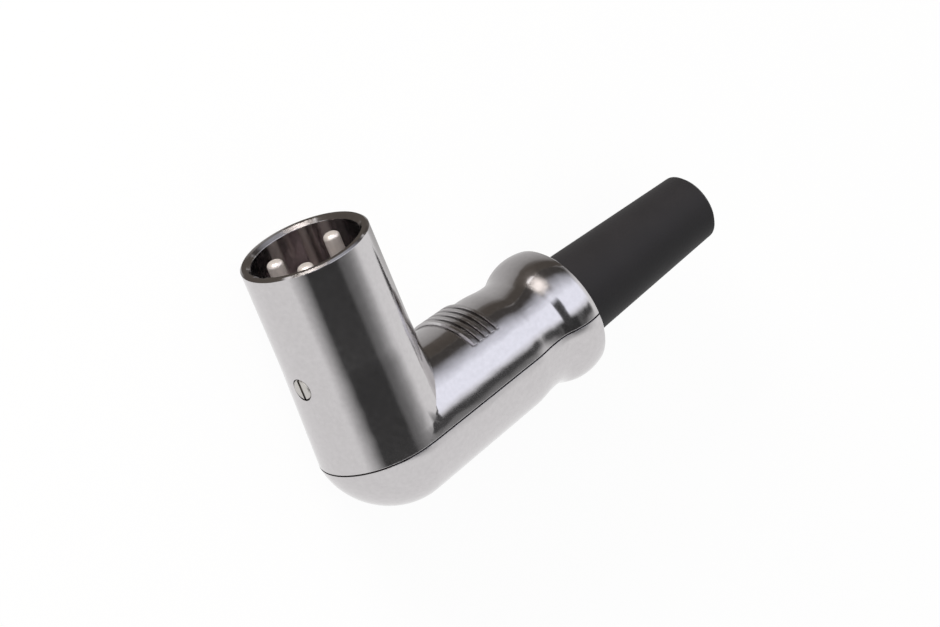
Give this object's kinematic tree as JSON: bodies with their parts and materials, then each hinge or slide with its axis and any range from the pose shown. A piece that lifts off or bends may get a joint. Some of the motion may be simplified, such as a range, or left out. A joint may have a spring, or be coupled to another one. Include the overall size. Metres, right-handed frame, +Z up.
{
  "type": "right-angle xlr connector",
  "caption": "Right-angle audio cable plug: a round metal barrel around the contact pins, a side arm that flares at its end, and a black rubber bend relief.",
  "frame": {"origin": "middle of the mouth, on the barrel's axis in the plane of its rim", "axes": "+X along the arm towards the cord, +Y out of the mouth along the barrel, +Z up as the plug lies on its side"},
  "size_m": [0.0739, 0.0413, 0.0198],
  "materials": {
    "nickel_casting": "bright nickel plate, slightly soft",
    "insert_plastic": "moulded, matt",
    "silvered_contact": "silver plated, bright",
    "tinned_brass": "tinned, satin",
    "plated_steel": "nickel plated",
    "boot_rubber": "matt black"
  },
  "bodies": {
    "root": {"shell_body": "nickel_casting", "shell_cover": "nickel_casting", "contact_insert": "insert_plastic", "ground_ring": "tinned_brass", "pin_1": "silvered_contact", "pin_2": "silvered_contact", "pin_3": "silvered_contact", "insert_screw": "plated_steel", "clamp_saddle": "plated_steel", "clamp_screw_1": "plated_steel", "clamp_screw_2": "plated_steel", "cover_screw": "plated_steel", "boot": "boot_rubber"}
  },
  "joints": []
}
